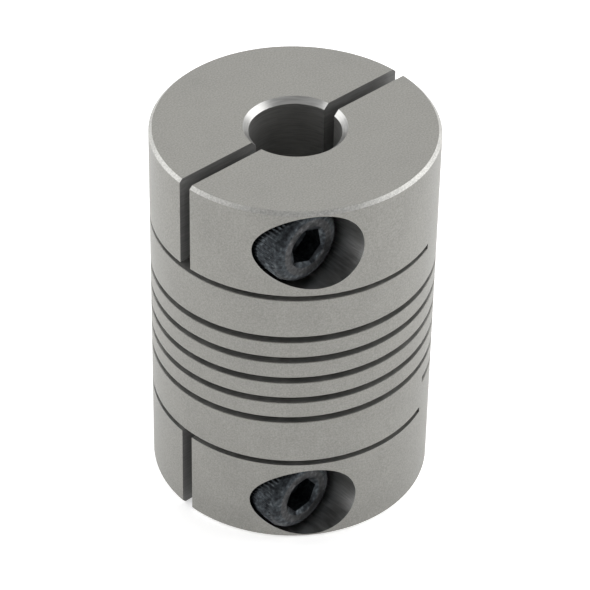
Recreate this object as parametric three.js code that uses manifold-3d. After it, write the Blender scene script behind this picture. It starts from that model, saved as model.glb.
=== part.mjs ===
// Clamp-type beam coupling: a slit aluminium sleeve that joins two shafts and flexes between them.
// Millimetres. The axis is Z, the origin is the centre of the sleeve, the clamp slots lie in the
// plane Y = 0 and open towards -X, and the clamp screws are driven from the -Y side.

import * as THREE from 'three';
import { mergeVertices } from 'three/addons/utils/BufferGeometryUtils.js';
import Module from 'manifold-3d';

// Sleeve
const OUTER_RADIUS = 12.5;
const LENGTH = 36;
const BORE_RADIUS = 4;
const EDGE_CHAMFER = 0.3;
const BORE_CHAMFER = 0.45;
const FLEXURE_BORE_RADIUS = 4.5;
const FLEXURE_BORE_HALF_LENGTH = 7.6;

// Helical slit: one right-handed cut whose two ends are half a turn apart
const PITCH = 2.22;
const SLIT_WIDTH = 0.6;
const SLIT_TURNS = 5.5;
const SLIT_START_ANGLE = -65;
const SLIT_START_HEIGHT = -6;
const TURN_ENDS = [0, 325, 650, 970, 1295, 1620];
const TURN_END_GAP = 5;

// Clamps: a slot right across each end, and a flat cut behind it that stops short of a web on +X
const SLOT_WIDTH = 1.25;
const CUT_HEIGHT = 9.15;
const CUT_WIDTH = 0.5;
const WEB_FACE = 5;
const WEB_GAP = 0.3;

// M4 x 12 socket head cap screws
const SCREW_X = -7;
const SCREW_HEIGHT = 13.85;
const HEAD_RADIUS = 3.5;
const HEAD_LENGTH = 4;
const HEAD_CHAMFER = 0.3;
const SHANK_RADIUS = 1.95;
const SHANK_LENGTH = 12;
const SOCKET_ACROSS_FLATS = 3;
const SOCKET_DEPTH = 2;
const COUNTERBORE_RADIUS = 3.75;
const SEAT_Y = -5.2;
const SEAT_GAP = 0.05;
const CLEARANCE_RADIUS = 2.25;
const THREAD_HOLE_RADIUS = 2.3;

// Tessellation and cutter overrun
const SEGMENTS = 72;
const STEP_ANGLE = 360 / SEGMENTS;
const ROUND_SEGMENTS = 36;
const OVERRUN = 2;
const REACH = LENGTH;
const WELD_DISTANCE = 1e-5;

const OUTSIDE = OUTER_RADIUS + OVERRUN;
const END = LENGTH / 2;

const wasm = await Module();
wasm.setup();

const aluminium = { color: 0x9b9993, roughness: 0.45, metalness: 0.85 };
const blackSteel = { color: 0x2c2e31, roughness: 0.4, metalness: 0.7 };

// A closed three.js geometry as a solid that can be joined and cut.
function solid(geometry) {
  geometry.deleteAttribute('normal');
  geometry.deleteAttribute('uv');
  const merged = mergeVertices(geometry, WELD_DISTANCE);
  const vertProperties = new Float32Array(merged.attributes.position.array);
  const triVerts = new Uint32Array(merged.index.array);
  return new wasm.Manifold(new wasm.Mesh({ numProp: 3, vertProperties, triVerts }));
}

// A solid as a named mesh in its own material.
function part(name, shape, finish) {
  const { vertProperties, triVerts } = shape.getMesh();
  const geometry = new THREE.BufferGeometry();
  geometry.setAttribute('position', new THREE.BufferAttribute(vertProperties, 3));
  geometry.setIndex(new THREE.BufferAttribute(triVerts, 1));
  geometry.computeVertexNormals();
  const mesh = new THREE.Mesh(geometry, new THREE.MeshStandardMaterial(finish));
  mesh.name = name;
  return mesh;
}

// A box between two corners.
function block(low, high) {
  const size = high.map((value, axis) => value - low[axis]);
  const geometry = new THREE.BoxGeometry(...size);
  geometry.translate(...high.map((value, axis) => (value + low[axis]) / 2));
  return solid(geometry);
}

// A round or hexagonal bar along Y, between two Y positions, on a screw axis at height z.
function barAlongY(radius, yLow, yHigh, z, sides = ROUND_SEGMENTS) {
  const geometry = new THREE.CylinderGeometry(radius, radius, yHigh - yLow, sides);
  geometry.translate(SCREW_X, (yLow + yHigh) / 2, z);
  return solid(geometry);
}

function slitHeight(degrees) {
  return SLIT_START_HEIGHT + PITCH * degrees / 360;
}

// A helical band round the axis, from `start` to `end` degrees along the slit, reaching from
// `below` to `above` its centre line, between two radii.
function helicalBand(start, end, below, above, innerRadius, outerRadius) {
  const steps = Math.round((end - start) / STEP_ANGLE);
  const geometry = new THREE.BoxGeometry(1, 1, 1, steps, 1, 1);
  const position = geometry.attributes.position;
  for (let i = 0; i < position.count; i += 1) {
    const along = start + (position.getX(i) + 0.5) * (end - start);
    const angle = THREE.MathUtils.degToRad(SLIT_START_ANGLE + along);
    const radius = position.getY(i) > 0 ? innerRadius : outerRadius;
    const height = slitHeight(along) + (position.getZ(i) > 0 ? above : below);
    position.setXYZ(i, radius * Math.cos(angle), radius * Math.sin(angle), height);
  }
  return solid(geometry);
}

// The turned sleeve before any slit is cut: bore, end chamfers and wider bore inside the flexure.
function turnedSleeve() {
  const outline = [
    [FLEXURE_BORE_RADIUS, -FLEXURE_BORE_HALF_LENGTH],
    [BORE_RADIUS, -FLEXURE_BORE_HALF_LENGTH],
    [BORE_RADIUS, BORE_CHAMFER - END],
    [BORE_RADIUS + BORE_CHAMFER, -END],
    [OUTER_RADIUS - EDGE_CHAMFER, -END],
    [OUTER_RADIUS, EDGE_CHAMFER - END],
    [OUTER_RADIUS, END - EDGE_CHAMFER],
    [OUTER_RADIUS - EDGE_CHAMFER, END],
    [BORE_RADIUS + BORE_CHAMFER, END],
    [BORE_RADIUS, END - BORE_CHAMFER],
    [BORE_RADIUS, FLEXURE_BORE_HALF_LENGTH],
    [FLEXURE_BORE_RADIUS, FLEXURE_BORE_HALF_LENGTH],
    [FLEXURE_BORE_RADIUS, -FLEXURE_BORE_HALF_LENGTH],
  ];
  const points = outline.map(([radius, height]) => new THREE.Vector2(radius, height));
  const geometry = new THREE.LatheGeometry(points, SEGMENTS);
  geometry.rotateX(Math.PI / 2);
  return solid(geometry);
}

// The stretch of sleeve between two heights.
function slice(sleeve, low, high) {
  return sleeve.intersect(block([-OUTSIDE, -OUTSIDE, low], [OUTSIDE, OUTSIDE, high]));
}

// One end of the sleeve outside its flat cut, with the cut's full width cleared beside the web.
function clampBlank(sleeve, side) {
  const webLevel = CUT_HEIGHT + WEB_GAP / 2;
  const cutLevel = CUT_HEIGHT + CUT_WIDTH / 2;
  const heights = (a, b) => [side * a, side * b].sort((p, q) => p - q);
  const [low, high] = heights(webLevel, END + OVERRUN);
  const [cutLow, cutHigh] = heights(webLevel - OVERRUN, cutLevel);
  const beside = block([-OUTSIDE, -OUTSIDE, cutLow], [WEB_FACE, OUTSIDE, cutHigh]);
  return slice(sleeve, low, high).subtract(beside);
}

// The jaw on the screw head's side, with its counterbore and clearance hole.
function frontJaw(sleeve, side) {
  const z = side * SCREW_HEIGHT;
  return clampBlank(sleeve, side)
    .intersect(block([-OUTSIDE, -OUTSIDE, -REACH], [OUTSIDE, -SLOT_WIDTH / 2, REACH]))
    .subtract(barAlongY(COUNTERBORE_RADIUS, -OUTSIDE, SEAT_Y, z))
    .subtract(barAlongY(CLEARANCE_RADIUS, SEAT_Y - OVERRUN, OVERRUN, z));
}

// The jaw that the screw threads into, with its hole right through.
function rearJaw(sleeve, side) {
  return clampBlank(sleeve, side)
    .intersect(block([-OUTSIDE, SLOT_WIDTH / 2, -REACH], [OUTSIDE, OUTSIDE, REACH]))
    .subtract(barAlongY(THREAD_HOLE_RADIUS, -OVERRUN, OUTSIDE, side * SCREW_HEIGHT));
}

// The solid ring between a flat cut and the flexure. Its inner end is the slit's first or last
// turn, a ramp with one step where the beam grows out of the ring.
function ring(sleeve, side) {
  const webLevel = CUT_HEIGHT - WEB_GAP / 2;
  const cutLevel = CUT_HEIGHT - CUT_WIDTH / 2;
  const heights = (a, b) => [side * a, side * b].sort((p, q) => p - q);
  const [low, high] = heights(0, webLevel);
  const [cutLow, cutHigh] = heights(cutLevel, webLevel + OVERRUN);
  const beside = block([-OUTSIDE, -OUTSIDE, cutLow], [WEB_FACE, OUTSIDE, cutHigh]);
  const below = side < 0 ? -SLIT_WIDTH / 2 : -REACH;
  const above = side < 0 ? REACH : SLIT_WIDTH / 2;
  const first = side < 0 ? 0 : (SLIT_TURNS - 1) * 360 - STEP_ANGLE;
  let shape = slice(sleeve, low, high).subtract(beside);
  for (const half of [first, first + 180]) {
    const end = half + 180 + STEP_ANGLE;
    shape = shape.subtract(helicalBand(half, end, below, above, BORE_RADIUS / 2, OUTSIDE));
  }
  return shape;
}

// One stretch of the helical beam, clear of its neighbours at both ends.
function beamTurn(index) {
  const last = TURN_ENDS.length - 2;
  const start = TURN_ENDS[index] + (index === 0 ? TURN_END_GAP : TURN_END_GAP / 2);
  const end = TURN_ENDS[index + 1] - (index === last ? TURN_END_GAP : TURN_END_GAP / 2);
  const [below, above] = [SLIT_WIDTH / 2, PITCH - SLIT_WIDTH / 2];
  return helicalBand(start, end, below, above, FLEXURE_BORE_RADIUS, OUTER_RADIUS);
}

// A socket head cap screw, its head towards -Y and seated in the counterbore.
function clampScrew(side) {
  const seat = SEAT_Y - SEAT_GAP;
  const face = seat - HEAD_LENGTH;
  const outline = [
    [0, seat + SHANK_LENGTH],
    [SHANK_RADIUS - HEAD_CHAMFER, seat + SHANK_LENGTH],
    [SHANK_RADIUS, seat + SHANK_LENGTH - HEAD_CHAMFER],
    [SHANK_RADIUS, seat],
    [HEAD_RADIUS, seat],
    [HEAD_RADIUS, face + HEAD_CHAMFER],
    [HEAD_RADIUS - HEAD_CHAMFER, face],
    [0, face],
  ];
  const points = outline.map(([radius, y]) => new THREE.Vector2(radius, y)).reverse();
  const geometry = new THREE.LatheGeometry(points, ROUND_SEGMENTS);
  geometry.translate(SCREW_X, 0, side * SCREW_HEIGHT);
  const socketRadius = SOCKET_ACROSS_FLATS / Math.sqrt(3);
  const z = side * SCREW_HEIGHT;
  return solid(geometry)
    .subtract(barAlongY(socketRadius, face - OVERRUN, face + SOCKET_DEPTH, z, 6));
}

const coupling = new THREE.Group();
const sleeve = turnedSleeve();

for (const [end, side] of [['lower', -1], ['upper', 1]]) {
  coupling.add(part(`${end}_ring`, ring(sleeve, side), aluminium));
  coupling.add(part(`${end}_front_jaw`, frontJaw(sleeve, side), aluminium));
  coupling.add(part(`${end}_rear_jaw`, rearJaw(sleeve, side), aluminium));
  coupling.add(part(`${end}_clamp_screw`, clampScrew(side), blackSteel));
}
for (let index = 0; index < TURN_ENDS.length - 1; index += 1) {
  coupling.add(part(`beam_turn_${index + 1}`, beamTurn(index), aluminium));
}

export default coupling;
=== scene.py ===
"""The visual model of a clamp-type beam coupling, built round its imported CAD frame.

Lengths are in metres. The axis is Z, the clamp slots lie in the plane Y = 0 and open towards -X,
and the clamp screws are driven from the -Y side.
"""

import math

import bmesh
import bpy
from mathutils import Matrix, Vector


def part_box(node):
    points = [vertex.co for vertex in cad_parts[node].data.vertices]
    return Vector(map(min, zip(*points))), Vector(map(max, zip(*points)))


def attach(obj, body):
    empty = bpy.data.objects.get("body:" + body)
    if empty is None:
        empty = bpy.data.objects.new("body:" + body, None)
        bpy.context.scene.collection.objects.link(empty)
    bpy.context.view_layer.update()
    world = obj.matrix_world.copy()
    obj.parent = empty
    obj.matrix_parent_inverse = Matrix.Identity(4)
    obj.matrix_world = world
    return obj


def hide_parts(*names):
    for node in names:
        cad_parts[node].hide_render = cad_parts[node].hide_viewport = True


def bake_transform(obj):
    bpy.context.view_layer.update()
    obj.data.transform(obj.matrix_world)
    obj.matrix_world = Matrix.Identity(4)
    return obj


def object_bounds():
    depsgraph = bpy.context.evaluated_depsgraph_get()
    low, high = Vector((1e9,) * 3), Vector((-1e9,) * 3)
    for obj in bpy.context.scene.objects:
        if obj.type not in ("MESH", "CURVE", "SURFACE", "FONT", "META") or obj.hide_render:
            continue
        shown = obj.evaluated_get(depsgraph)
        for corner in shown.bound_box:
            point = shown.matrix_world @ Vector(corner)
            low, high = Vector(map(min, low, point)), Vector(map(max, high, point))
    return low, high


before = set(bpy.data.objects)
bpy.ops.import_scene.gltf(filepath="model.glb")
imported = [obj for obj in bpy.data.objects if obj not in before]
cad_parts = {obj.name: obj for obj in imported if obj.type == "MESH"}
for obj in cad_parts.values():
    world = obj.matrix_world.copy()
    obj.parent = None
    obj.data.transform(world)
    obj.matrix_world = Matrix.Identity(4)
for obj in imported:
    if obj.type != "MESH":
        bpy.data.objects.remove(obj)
cad_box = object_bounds()

MM = 0.001

# Sizes read from the frame
END = cad_box[1].z
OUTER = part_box("upper_ring")[1].x
SLOT_HALF = -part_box("upper_front_jaw")[1].y
SCREW_LOW, SCREW_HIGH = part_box("upper_clamp_screw")
SCREW_X = (SCREW_LOW.x + SCREW_HIGH.x) / 2
SCREW_Z = (SCREW_LOW.z + SCREW_HIGH.z) / 2
HEAD_RADIUS = (SCREW_HIGH.x - SCREW_LOW.x) / 2
HEAD_FACE = SCREW_LOW.y
SCREW_TIP = SCREW_HIGH.y

# Sleeve
BORE = 4 * MM
FLEXURE_BORE = 4.5 * MM
FLEXURE_BORE_END = 7.6 * MM
EDGE_CHAMFER = 0.3 * MM
BORE_CHAMFER = 0.5 * MM
FLAT_CUT_LOW = 8.9 * MM
FLAT_CUT_HIGH = 9.4 * MM
WEB_FACE = 5 * MM
COUNTERBORE = 3.75 * MM
SEAT = -5.12 * MM
CLEARANCE_HOLE = 2.25 * MM
THREAD_HOLE_MINOR = 2.2 * MM
THREAD_HOLE_MAJOR = 2.55 * MM
THREAD_RELIEF = 2.65 * MM
THREAD_RELIEF_FLOOR = 7.4 * MM

# Helical slit, measured in degrees along it from its lower end
PITCH = 2.22 * MM
SLIT = 0.6 * MM
SLIT_ANGLE = -65
SLIT_HEIGHT = -6 * MM
SLIT_DEGREES = 1980
TURN_ENDS = [0, 325, 650, 970, 1295, 1620]
LINK_REACH = 60

# Edges and tessellation, with angles in degrees. The smooth angles are one per material slot.
SMOOTH_ANGLES = {"aluminium_body": 10, "black_steel": 32}
EDGE_ROUND = 0.07 * MM
SEAM_ROUND = 0.002 * MM
CLAMP_EDGE_ROUND = 0.12 * MM
BEVEL_ANGLE = 30
FLAT_ANGLE = 0.4
STEP = 1.25
POCKET_SIDES = 144
HOLE_SIDES = 72
THREAD_SIDES = 60
THREAD_ROWS_PER_TURN = 10
OVERRUN = 2 * MM

# Distances within which points are welded, or taken to lie on a plane
WELD = 0.0005 * MM
NEAR = 0.01 * MM

# Screws: M4 with a straight-knurled head
HEAD_LENGTH = 4 * MM
HEAD_SHOULDER = 0.75 * MM
KNURL_DEPTH = 0.13 * MM
SOCKET_HALF_FLATS = 1.5 * MM
SOCKET_DEPTH = 2 * MM
SOCKET_MOUTH = 1.95 * MM
SOCKET_CHAMFER = 0.25 * MM
SOCKET_CONE = 0.55 * MM
HEAD_UNDERCUT = 0.35 * MM
SHANK_FILLET = 0.15 * MM
PLAIN_SHANK = 1.2 * MM
THREAD_PITCH = 0.7 * MM
SHANK_CREST = 1.95 * MM
SHANK_ROOT = 1.6 * MM
SCREW_COLUMNS = 120
SCREW_TURNS = {"lower": 8, "upper": 41}

BUMP_DISTANCE = 0.02 * MM


def polar(radius, degrees, height):
    """A point round the sleeve's axis."""
    angle = math.radians(degrees)
    return Vector((radius * math.cos(angle), radius * math.sin(angle), height))


def slit_height(along):
    """The height of the middle of the slit at a place along it."""
    return SLIT_HEIGHT + PITCH * along / 360


def corner(radius, height, rounding, radial, upward, outwards):
    """Three points of a rounded corner at (radius, height). radial and upward say which way the
    corner points, and outwards is True if the outline reaches it along the side wall."""
    centre = (radius - radial * rounding, height - upward * rounding)
    angles = (0, 45, 90) if outwards else (90, 45, 0)
    return [(centre[0] + radial * rounding * math.cos(math.radians(a)),
             centre[1] + upward * rounding * math.sin(math.radians(a))) for a in angles]


def loft(bm, columns, closed=False, caps=True):
    """Joins closed outlines, each a list of points, into a tube. Returns the rows of vertices."""
    rows = [[bm.verts.new(p) for p in column] for column in columns]
    pairs = list(zip(rows, rows[1:])) + ([(rows[-1], rows[0])] if closed else [])
    for near, far in pairs:
        for k in range(len(near)):
            n = (k + 1) % len(near)
            bm.faces.new((near[k], near[n], far[n], far[k]))
    if caps and not closed:
        bm.faces.new(rows[0])
        bm.faces.new(list(reversed(rows[-1])))
    return rows


def finish_mesh(bm, name):
    """Cleans bm, turns it outwards and returns it as a shown object."""
    bmesh.ops.remove_doubles(bm, verts=bm.verts, dist=WELD)
    bmesh.ops.recalc_face_normals(bm, faces=bm.faces)
    mesh = bpy.data.meshes.new(name)
    bm.to_mesh(mesh)
    bm.free()
    obj = bpy.data.objects.new(name, mesh)
    bpy.context.scene.collection.objects.link(obj)
    return obj


def smooth(obj, degrees):
    """Shades obj smooth across edges up to an angle, and sharp across the others."""
    for polygon in obj.data.polygons:
        polygon.use_smooth = True
    obj.data.set_sharp_from_angle(angle=math.radians(degrees))


# ---------------------------------------------------------------- flexure


def beam_outline(along):
    """The beam's cross-section at a place along the slit: between this pass and the next."""
    low = slit_height(along) + SLIT / 2
    high = slit_height(along) + PITCH - SLIT / 2
    outline = corner(OUTER, low, EDGE_ROUND, 1, -1, False)
    outline += corner(OUTER, high, EDGE_ROUND, 1, 1, True)
    outline += corner(FLEXURE_BORE, high, EDGE_ROUND, -1, 1, False)
    outline += corner(FLEXURE_BORE, low, EDGE_ROUND, -1, -1, True)
    return [polar(r, SLIT_ANGLE + along, z) for r, z in outline]


def beam_piece(name, start, end):
    """A stretch of the beam, from one place along the slit to another."""
    bm = bmesh.new()
    steps = max(1, round((end - start) / STEP))
    loft(bm, [beam_outline(start + (end - start) * i / steps) for i in range(steps + 1)])
    return finish_mesh(bm, name)


def ring_outline(along, side):
    """A ring's cross-section. Its flat end faces the clamp and its other end is the slit's wall."""
    flat = side * FLAT_CUT_LOW
    slope = slit_height(along) + side * SLIT / 2
    first_wall = slit_height(0 if side < 0 else SLIT_DEGREES) + side * (SLIT / 2 + EDGE_ROUND)
    beside_web = OUTER * math.cos(math.radians(SLIT_ANGLE + along)) > WEB_FACE
    flat_round = SEAM_ROUND if beside_web else EDGE_ROUND
    outline = corner(OUTER, flat, flat_round, 1, side, False)
    outline += [(OUTER, first_wall)]
    outline += corner(OUTER, slope, EDGE_ROUND, 1, -side, True)
    outline += corner(FLEXURE_BORE, slope, EDGE_ROUND, -1, -side, False)
    outline += [(FLEXURE_BORE, first_wall), (FLEXURE_BORE, side * FLEXURE_BORE_END)]
    outline += [(BORE, side * FLEXURE_BORE_END), (BORE, flat)]
    return [polar(r, SLIT_ANGLE + along, z) for r, z in outline]


def ring_piece(name, side):
    """The ring between a clamp's flat cut and the flexure, with a step where the beam leaves it."""
    first = 0 if side < 0 else SLIT_DEGREES - 360
    steps = round(360 / STEP)
    bm = bmesh.new()
    rows = loft(bm, [ring_outline(first + i * STEP, side) for i in range(steps + 1)], caps=False)
    tall, short = (rows[-1], rows[0]) if side < 0 else (rows[0], rows[-1])
    wall, top, inner = 3, slice(4, 10), 10  # places in ring_outline
    bm.faces.new([tall[wall], *tall[top], tall[inner], *reversed(short[top])])
    return finish_mesh(bm, name)


# ---------------------------------------------------------------- clamps


def lathed(name, outline):
    """Turns an outline of (radius, height) points round the sleeve's axis."""
    bm = bmesh.new()
    steps = round(360 / STEP)
    loft(bm, [[polar(r, (i + 0.5) * STEP, z) for r, z in outline] for i in range(steps)],
         closed=True)
    return finish_mesh(bm, name)


def box_cutter(low, high):
    bm = bmesh.new()
    bmesh.ops.create_cube(bm, size=1)
    low, high = Vector(low), Vector(high)
    size = high - low
    bmesh.ops.scale(bm, vec=size, verts=bm.verts)
    bmesh.ops.translate(bm, vec=(low + high) / 2, verts=bm.verts)
    return finish_mesh(bm, "box_cutter")


def along_screw(radius, degrees, y, z):
    """A point round a screw axis, which runs along Y at height z."""
    angle = math.radians(degrees)
    return Vector((SCREW_X + radius * math.cos(angle), y, z + radius * math.sin(angle)))


def rod_cutter(radius, y_low, y_high, z, sides):
    bm = bmesh.new()
    turn = 360 / sides
    loft(bm, [[along_screw(radius, k * turn, y, z) for k in range(sides)] for y in (y_low, y_high)])
    return finish_mesh(bm, "rod_cutter")


def thread_radius(degrees, y, crest, root):
    """The radius of a right-hand thread round a screw axis. Its crests and roots are flat for 3/16
    of the pitch, and its flanks are about 60 degrees apart."""
    phase = (y / THREAD_PITCH + degrees / 360) % 1
    depth = min(1.0, max(0.0, abs(2 * phase - 1) * 1.6 - 0.3))
    return crest + (root - crest) * depth


def thread_cutter(y_low, y_high, z):
    bm = bmesh.new()
    rows = round((y_high - y_low) / THREAD_PITCH * THREAD_ROWS_PER_TURN)
    degrees = [k * 360 / THREAD_SIDES for k in range(THREAD_SIDES)]
    columns = []
    for i in range(rows + 1):
        y = y_low + (y_high - y_low) * i / rows
        radii = [thread_radius(d, y, THREAD_HOLE_MAJOR, THREAD_HOLE_MINOR) for d in degrees]
        columns.append([along_screw(r, d, y, z) for r, d in zip(radii, degrees)])
    loft(bm, columns)
    return finish_mesh(bm, "thread_cutter")


def carve(obj, cutters):
    """Cuts the cutters out of obj, and removes them."""
    for cutter in cutters:
        boolean = obj.modifiers.new("cut", "BOOLEAN")
        boolean.operation = "DIFFERENCE"
        boolean.solver = "MANIFOLD"
        boolean.object = cutter
    evaluated = obj.evaluated_get(bpy.context.evaluated_depsgraph_get())
    carved = bpy.data.meshes.new_from_object(evaluated)
    carved.materials.clear()
    obj.modifiers.clear()
    obj.data = carved
    for cutter in cutters:
        bpy.data.objects.remove(cutter)


def near_thread(point, side):
    """Whether a point lies in the threaded stretch of a rear jaw's hole or on its rim."""
    rim = 0.05 * MM
    radius = math.hypot(point.x - SCREW_X, point.z - side * SCREW_Z)
    return radius < THREAD_RELIEF + rim and 0 < point.y < THREAD_RELIEF_FLOOR + rim


def round_edges(obj, side):
    """Rounds the sharp edges of a jaw, apart from its thread and its seam with the ring, and cuts
    its faces at the outer side of the flat cut, where the blend with the ring ends."""
    bm = bmesh.new()
    bm.from_mesh(obj.data)
    bmesh.ops.dissolve_limit(bm, angle_limit=math.radians(FLAT_ANGLE), verts=bm.verts,
                             edges=bm.edges)
    seam = side * FLAT_CUT_LOW
    chosen = []
    for edge in bm.edges:
        if len(edge.link_faces) != 2 or edge.calc_face_angle(0) < math.radians(BEVEL_ANGLE):
            continue
        on_seam = all(abs(v.co.z - seam) < NEAR for v in edge.verts)
        in_thread = all(near_thread(v.co, side) for v in edge.verts)
        if not on_seam and not in_thread:
            chosen.append(edge)
    bmesh.ops.bevel(bm, geom=chosen, offset=CLAMP_EDGE_ROUND, segments=2, profile=0.5,
                    affect="EDGES", clamp_overlap=True)
    plane = Vector((0, 0, side * FLAT_CUT_HIGH))
    bmesh.ops.bisect_plane(bm, geom=[*bm.verts, *bm.edges, *bm.faces], plane_co=plane,
                           plane_no=(0, 0, 1), dist=2 * WELD)
    bmesh.ops.remove_doubles(bm, verts=bm.verts, dist=WELD)
    bm.to_mesh(obj.data)
    bm.free()


def jaw_blank(name, side):
    """The whole end of the sleeve beyond the flat cut, before the jaw is cut out of it."""
    outline = [(BORE, FLAT_CUT_LOW), (OUTER, FLAT_CUT_LOW), (OUTER, END - EDGE_CHAMFER),
               (OUTER - EDGE_CHAMFER, END), (BORE + BORE_CHAMFER, END), (BORE, END - BORE_CHAMFER)]
    return lathed(name, [(r, side * z) for r, z in outline])


def jaw_piece(name, side, front):
    """Half of a clamp: the front one takes the screw's head and the rear one its thread."""
    reach = OUTER + OVERRUN
    z = side * SCREW_Z
    jaw = jaw_blank(name, side)
    flat = sorted((side * (FLAT_CUT_LOW - OVERRUN), side * FLAT_CUT_HIGH))
    half = (-SLOT_HALF, reach) if front else (-reach, SLOT_HALF)
    cutters = [box_cutter((-reach, half[0], -END - OVERRUN), (reach, half[1], END + OVERRUN)),
               box_cutter((-reach, -reach, flat[0]), (WEB_FACE, reach, flat[1]))]
    if front:
        cutters.append(rod_cutter(COUNTERBORE, -reach, SEAT, z, POCKET_SIDES))
        cutters.append(rod_cutter(CLEARANCE_HOLE, SEAT - OVERRUN, OVERRUN, z, HOLE_SIDES))
    else:
        cutters.append(thread_cutter(-OVERRUN, THREAD_RELIEF_FLOOR + THREAD_PITCH, z))
        cutters.append(rod_cutter(THREAD_RELIEF, THREAD_RELIEF_FLOOR, reach, z, HOLE_SIDES))
    carve(jaw, cutters)
    round_edges(jaw, side)
    return jaw


# ---------------------------------------------------------------- screws


def hexagon_radius(degrees, turn):
    """The radius of the socket's hexagon, which is turned by `turn` degrees."""
    return SOCKET_HALF_FLATS / math.cos(math.radians((degrees - turn) % 60 - 30))


def screw_piece(name, side, turn):
    """A socket head cap screw, its head towards -Y, as one grid from the socket to the tip."""
    seat = HEAD_FACE + HEAD_LENGTH
    z = side * SCREW_Z
    step = 360 / SCREW_COLUMNS
    degrees = [turn + k * step for k in range(SCREW_COLUMNS)]

    def circle(radius, y):
        return [along_screw(radius, d, y, z) for d in degrees]

    def hexagon(y):
        return [along_screw(hexagon_radius(d, turn), d, y, z) for d in degrees]

    def knurled(radius, y):
        return [along_screw(radius - KNURL_DEPTH * (k % 2), d, y, z) for k, d in enumerate(degrees)]

    def threaded(y, crest):
        return [along_screw(min(crest, thread_radius(d, y, SHANK_CREST, SHANK_ROOT)), d, y, z)
                for d in degrees]

    def shoulder(degrees):
        angle = math.radians(degrees)
        return circle(HEAD_RADIUS - KNURL_DEPTH - HEAD_SHOULDER * (1 - math.sin(angle)),
                      HEAD_FACE + HEAD_SHOULDER * 0.8 * (1 - math.cos(angle)))

    socket_floor = HEAD_FACE + SOCKET_DEPTH
    knurl_start = HEAD_FACE + HEAD_SHOULDER
    columns = [circle(0.3 * MM, socket_floor + SOCKET_CONE),
               circle(1.3 * MM, socket_floor + 0.1 * MM),
               hexagon(socket_floor), hexagon(HEAD_FACE + SOCKET_CHAMFER),
               circle(SOCKET_MOUTH, HEAD_FACE), *[shoulder(angle) for angle in range(0, 91, 15)],
               knurled(HEAD_RADIUS, knurl_start), knurled(HEAD_RADIUS, seat - HEAD_UNDERCUT),
               circle(HEAD_RADIUS - 0.12 * MM, seat - 0.2 * MM),
               circle(HEAD_RADIUS - 0.2 * MM, seat), circle(SHANK_CREST + SHANK_FILLET, seat),
               circle(SHANK_CREST, seat + SHANK_FILLET), circle(SHANK_CREST, seat + PLAIN_SHANK)]
    thread_start = seat + PLAIN_SHANK + 0.1 * MM
    rows = round((SCREW_TIP - thread_start) / THREAD_PITCH * THREAD_ROWS_PER_TURN)
    for i in range(rows + 1):
        y = thread_start + (SCREW_TIP - thread_start) * i / rows
        columns.append(threaded(y, min(SHANK_CREST, SHANK_ROOT - 0.15 * MM + (SCREW_TIP - y))))
    bm = bmesh.new()
    loft(bm, columns)
    return finish_mesh(bm, name)


# ---------------------------------------------------------------- materials


def new_material(name):
    """A new material, its nodes and links, and its shader."""
    material = bpy.data.materials.new(name)
    material.use_nodes = True
    nodes = material.node_tree.nodes
    return material, nodes, material.node_tree.links, nodes["Principled BSDF"]


def noise(nodes, links, scale, detail=3.0, stretch=None):
    """A noise texture in the piece's own coordinates. scale is features per metre."""
    coordinates = nodes.new("ShaderNodeTexCoord")
    texture = nodes.new("ShaderNodeTexNoise")
    texture.inputs["Scale"].default_value = scale
    texture.inputs["Detail"].default_value = detail
    if stretch is None:
        links.new(coordinates.outputs["Object"], texture.inputs["Vector"])
    else:
        mapping = nodes.new("ShaderNodeMapping")
        mapping.inputs["Scale"].default_value = stretch
        links.new(coordinates.outputs["Object"], mapping.inputs["Vector"])
        links.new(mapping.outputs["Vector"], texture.inputs["Vector"])
    return texture


def ramp(nodes, links, source, stops):
    """Colours a texture's value by (position, colour) stops."""
    node = nodes.new("ShaderNodeValToRGB")
    elements = node.color_ramp.elements
    while len(elements) < len(stops):
        elements.new(0.5)
    for element, (position, colour) in zip(elements, stops):
        element.position = position
        element.color = (*colour, 1)
    links.new(source, node.inputs["Fac"])
    return node.outputs["Color"]


def value_range(nodes, links, source, low, high):
    """Maps the middle of a noise texture's range to low and high."""
    node = nodes.new("ShaderNodeMapRange")
    node.inputs["From Min"].default_value = 0.3
    node.inputs["From Max"].default_value = 0.7
    node.inputs["To Min"].default_value = low
    node.inputs["To Max"].default_value = high
    links.new(source, node.inputs["Value"])
    return node.outputs["Result"]


def add_bump(nodes, links, shader, height, strength):
    bump = nodes.new("ShaderNodeBump")
    bump.inputs["Strength"].default_value = strength
    bump.inputs["Distance"].default_value = BUMP_DISTANCE
    links.new(height, bump.inputs["Height"])
    links.new(bump.outputs["Normal"], shader.inputs["Normal"])


def anodised_aluminium(name, dark, light, roughness):
    """Clear-anodised aluminium: a fine even grain over very faint broad patches."""
    material, nodes, links, shader = new_material(name)
    shader.inputs["Metallic"].default_value = 0.8
    grain = noise(nodes, links, 7000)
    patches = noise(nodes, links, 260, 2.0)
    mix = nodes.new("ShaderNodeMix")
    mix.inputs["Factor"].default_value = 0.3
    links.new(grain.outputs["Fac"], mix.inputs["A"])
    links.new(patches.outputs["Fac"], mix.inputs["B"])
    tone = ramp(nodes, links, mix.outputs["Result"], [(0.35, dark), (0.65, light)])
    links.new(tone, shader.inputs["Base Color"])
    links.new(value_range(nodes, links, patches.outputs["Fac"], roughness, roughness + 0.08),
              shader.inputs["Roughness"])
    add_bump(nodes, links, shader, grain.outputs["Fac"], 0.25)
    return material


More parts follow.
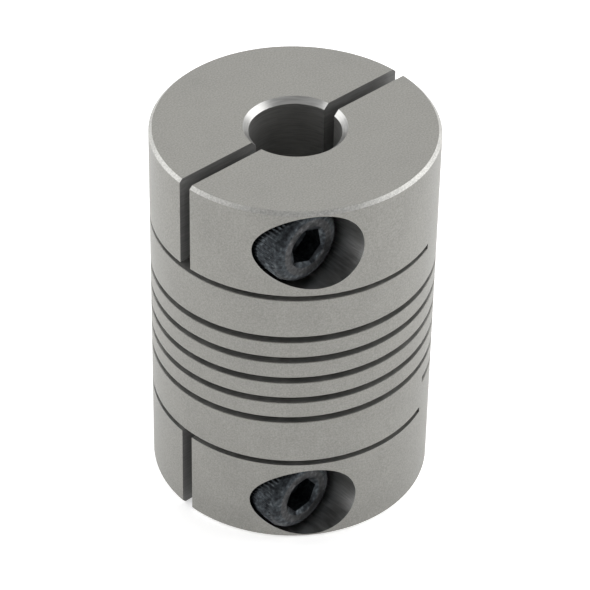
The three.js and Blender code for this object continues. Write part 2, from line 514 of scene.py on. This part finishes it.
def cut_aluminium(name, metallic, dark, light, roughness):
    """Bored, milled and sawn surfaces, with faint tool marks."""
    material, nodes, links, shader = new_material(name)
    shader.inputs["Metallic"].default_value = metallic
    marks = noise(nodes, links, 1000, 2.0, (0.6, 0.6, 9))
    tone = ramp(nodes, links, marks.outputs["Fac"], [(0.3, dark), (0.7, light)])
    links.new(tone, shader.inputs["Base Color"])
    links.new(value_range(nodes, links, marks.outputs["Fac"], roughness, roughness + 0.1),
              shader.inputs["Roughness"])
    add_bump(nodes, links, shader, marks.outputs["Fac"], 0.2)
    return material


def black_oxide(name, roughness, tones):
    """Oiled black oxide on steel, mottled between three tones."""
    material, nodes, links, shader = new_material(name)
    shader.inputs["Metallic"].default_value = 0.9
    mottle = noise(nodes, links, 2600, 4.0)
    tone = ramp(nodes, links, mottle.outputs["Fac"], list(zip((0.35, 0.55, 0.72), tones)))
    links.new(tone, shader.inputs["Base Color"])
    links.new(value_range(nodes, links, mottle.outputs["Fac"], roughness + 0.1, roughness - 0.07),
              shader.inputs["Roughness"])
    add_bump(nodes, links, shader, mottle.outputs["Fac"], 0.15)
    return material


def floor_material():
    material, nodes, links, shader = new_material("pale_floor")
    shader.inputs["Roughness"].default_value = 0.6
    shader.inputs["Emission Color"].default_value = (1, 1, 1, 1)
    shader.inputs["Emission Strength"].default_value = 0.5
    tone = ramp(nodes, links, noise(nodes, links, 30).outputs["Fac"],
                [(0.3, (0.93, 0.93, 0.93)), (0.7, (0.95, 0.95, 0.95))])
    links.new(tone, shader.inputs["Base Color"])
    return material


MATTE = anodised_aluminium("matte_aluminium", (0.228, 0.225, 0.21), (0.325, 0.32, 0.298), 0.42)
# The outer chamfers are painted much lighter than the matte outside: a painted highlight line along
# the edges.
CHAMFER_PAINTED_HIGHLIGHT = anodised_aluminium("chamfer_painted_highlight", (0.42, 0.417, 0.4), (0.66, 0.655, 0.63), 0.5)
MILLED = cut_aluminium("milled_aluminium", 0.8, (0.42, 0.42, 0.41), (0.55, 0.547, 0.535), 0.28)
# The clamp slot's walls are painted dark: painted shade deep in the narrow slot.
SAWN_PAINTED_SHADE = cut_aluminium("sawn_aluminium_painted_shade", 0.3, (0.15, 0.15, 0.147), (0.22, 0.218, 0.212), 0.55)
BORED = cut_aluminium("bored_aluminium", 1.0, (0.5, 0.5, 0.49), (0.68, 0.675, 0.665), 0.28)
BLACK = black_oxide("black_oxide", 0.4,
                    [(0.018, 0.02, 0.023), (0.045, 0.052, 0.058), (0.1, 0.112, 0.12)])
RUBBED_BLACK = black_oxide("rubbed_black_oxide", 0.35,
                           [(0.035, 0.036, 0.037), (0.055, 0.056, 0.058), (0.1, 0.1, 0.105)])


def paint_sleeve(obj):
    """Matte outside, painted lighter on the outer chamfers as a highlight, sawn and painted dark as
    shade in the clamp slot, bored in the pocket and milled on the other cut faces."""
    for material in (MATTE, CHAMFER_PAINTED_HIGHLIGHT, MILLED, BORED, SAWN_PAINTED_SHADE):
        obj.data.materials.append(material)
    side = math.copysign(1, obj.data.vertices[0].co.z)
    for polygon in obj.data.polygons:
        x, y, z = polygon.center
        radius = math.hypot(x, y)
        on_end = abs(z) > END - NEAR
        if radius > OUTER - 2 * EDGE_CHAMFER or on_end:
            # Index 1, the outer chamfers, carries the painted highlight.
            polygon.material_index = int(not on_end and abs(z) > END - EDGE_CHAMFER)
        elif y < -2 * SLOT_HALF and math.hypot(x - SCREW_X, z - side * SCREW_Z) < COUNTERBORE:
            polygon.material_index = 3
        # Index 4, the clamp slot's walls, carries the painted shade.
        elif abs(abs(y) - SLOT_HALF) < NEAR and abs(z) > FLAT_CUT_LOW:
            polygon.material_index = 4
        else:
            polygon.material_index = 2


# ---------------------------------------------------------------- assembly


def place(obj, slot, body=None, between=None, stands_for=()):
    """Finishes a piece: it rides on one body, or, when it spans two, has its transform baked into
    its mesh.
    """
    smooth(obj, SMOOTH_ANGLES[slot])
    if between:
        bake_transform(obj)
    else:
        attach(obj, body)
    if stands_for:
        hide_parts(*stands_for)


def build_flexure():
    """The beam: a stretch on each body, and a bend across each of the flexure's joints."""
    bodies = ["lower_ring", *[f"beam_turn_{k}" for k in range(1, 6)], "upper_ring"]
    last = len(TURN_ENDS) - 1
    for k, along in enumerate(TURN_ENDS):
        before, after = (k > 0) * LINK_REACH, (k < last) * LINK_REACH
        link = beam_piece(f"beam_bend_{k + 1}", along - before, along + after)
        paint_sleeve(link)
        place(link, "aluminium_body", between=(bodies[k], bodies[k + 1]))
        if k < last:
            start, end = along + LINK_REACH, TURN_ENDS[k + 1] - LINK_REACH
            node = bodies[k + 1]
            turn = beam_piece(f"{node}_metal", start, end)
            paint_sleeve(turn)
            place(turn, "aluminium_body", body=node, stands_for=[node])


def build_end(end, side):
    """One end of the coupling: its ring, its two jaws and its screw. side is the sign of its z."""
    ring = f"{end}_ring"
    ring_metal = ring_piece(f"{ring}_metal", side)
    paint_sleeve(ring_metal)
    place(ring_metal, "aluminium_body", body=ring, stands_for=[ring])
    for front in (True, False):
        node = f"{end}_{'front' if front else 'rear'}_jaw"
        jaw = jaw_piece(f"{node}_metal", side, front)
        paint_sleeve(jaw)
        place(jaw, "aluminium_body", between=(ring, node), stands_for=[node])
    screw_node = f"{end}_clamp_screw"
    screw = screw_piece(f"{screw_node}_detail", side, SCREW_TURNS[end])
    screw.data.materials.append(BLACK)
    screw.data.materials.append(RUBBED_BLACK)
    for polygon in screw.data.polygons:
        if abs(polygon.center.y - HEAD_FACE) < NEAR:
            polygon.material_index = 1
    place(screw, "black_steel", body=screw_node, stands_for=[screw_node])


# ---------------------------------------------------------------- studio


FLOOR_GAP = 0.02 * MM
CAMERA_AZIMUTH = -43.3
CAMERA_ELEVATION = 38.2
CAMERA_DISTANCE = 0.2658
CAMERA_ROLL = -1.04
CAMERA_LENS = 183.0
CAMERA_SHIFT = (0.0044, -0.0045)


def add_camera():
    azimuth, elevation = math.radians(CAMERA_AZIMUTH), math.radians(CAMERA_ELEVATION)
    back = Vector((math.sin(azimuth) * math.cos(elevation),
                   -math.cos(azimuth) * math.cos(elevation), math.sin(elevation)))
    right = Vector((math.cos(azimuth), math.sin(azimuth), 0))
    up = back.cross(right)
    roll = math.radians(CAMERA_ROLL)
    rolled_right = right * math.cos(roll) - up * math.sin(roll)
    rolled_up = right * math.sin(roll) + up * math.cos(roll)
    data = bpy.data.cameras.new("camera")
    data.lens = CAMERA_LENS
    data.shift_x, data.shift_y = CAMERA_SHIFT
    data.clip_start, data.clip_end = 0.01, 10
    camera = bpy.data.objects.new("camera", data)
    basis = Matrix((rolled_right, rolled_up, back)).transposed()
    camera.matrix_world = Matrix.Translation(back * CAMERA_DISTANCE) @ basis.to_4x4()
    bpy.context.scene.collection.objects.link(camera)
    bpy.context.scene.camera = camera


def add_floor():
    bm = bmesh.new()
    bmesh.ops.create_grid(bm, x_segments=4, y_segments=4, size=3)
    floor = finish_mesh(bm, "floor")
    floor.location.z = cad_box[0].z - FLOOR_GAP
    floor.data.materials.append(floor_material())


def add_softbox(name, azimuth, elevation, distance, size, power):
    """A rectangular light that faces the object, at an azimuth counted as the camera's is."""
    data = bpy.data.lights.new(name, "AREA")
    data.shape = "RECTANGLE"
    data.size, data.size_y = size
    data.energy = power
    light = bpy.data.objects.new(name, data)
    a, e = math.radians(azimuth), math.radians(elevation)
    back = Vector((math.sin(a) * math.cos(e), -math.cos(a) * math.cos(e), math.sin(e)))
    light.location = back * distance
    light.rotation_mode = "QUATERNION"
    light.rotation_quaternion = (-back).to_track_quat("-Z", "Y")
    bpy.context.scene.collection.objects.link(light)


def add_studio():
    """White surroundings, brighter behind the object than in front of it, and four softboxes."""
    scene = bpy.context.scene
    scene.view_settings.view_transform = "Standard"
    world = bpy.data.worlds.new("studio")
    world.use_nodes = True
    nodes, links = world.node_tree.nodes, world.node_tree.links
    azimuth = math.radians(CAMERA_AZIMUTH)
    facing = nodes.new("ShaderNodeVectorMath")
    facing.operation = "DOT_PRODUCT"
    facing.inputs[1].default_value = (math.sin(azimuth), -math.cos(azimuth), 0)
    links.new(nodes.new("ShaderNodeTexCoord").outputs["Generated"], facing.inputs[0])
    strength = nodes.new("ShaderNodeMapRange")
    strength.inputs["From Min"].default_value = -1
    strength.inputs["To Min"].default_value = 0.72
    strength.inputs["To Max"].default_value = 0.2
    links.new(facing.outputs["Value"], strength.inputs["Value"])
    links.new(strength.outputs["Result"], nodes["Background"].inputs["Strength"])
    nodes["Background"].inputs["Color"].default_value = (1, 1, 1, 1)
    scene.world = world
    add_softbox("top_box", CAMERA_AZIMUTH, 89, 0.9, (0.8, 0.8), 0.7)
    add_softbox("back_box", CAMERA_AZIMUTH + 180, 42, 0.9, (0.9, 0.5), 1.5)
    add_softbox("left_box", CAMERA_AZIMUTH - 100, 28, 0.7, (0.6, 0.5), 1.9)
    add_softbox("right_box", CAMERA_AZIMUTH + 100, 26, 0.7, (0.6, 0.5), 2.4)


add_camera()
add_studio()
add_floor()
build_flexure()
for end, side in (("lower", -1), ("upper", 1)):
    build_end(end, side)
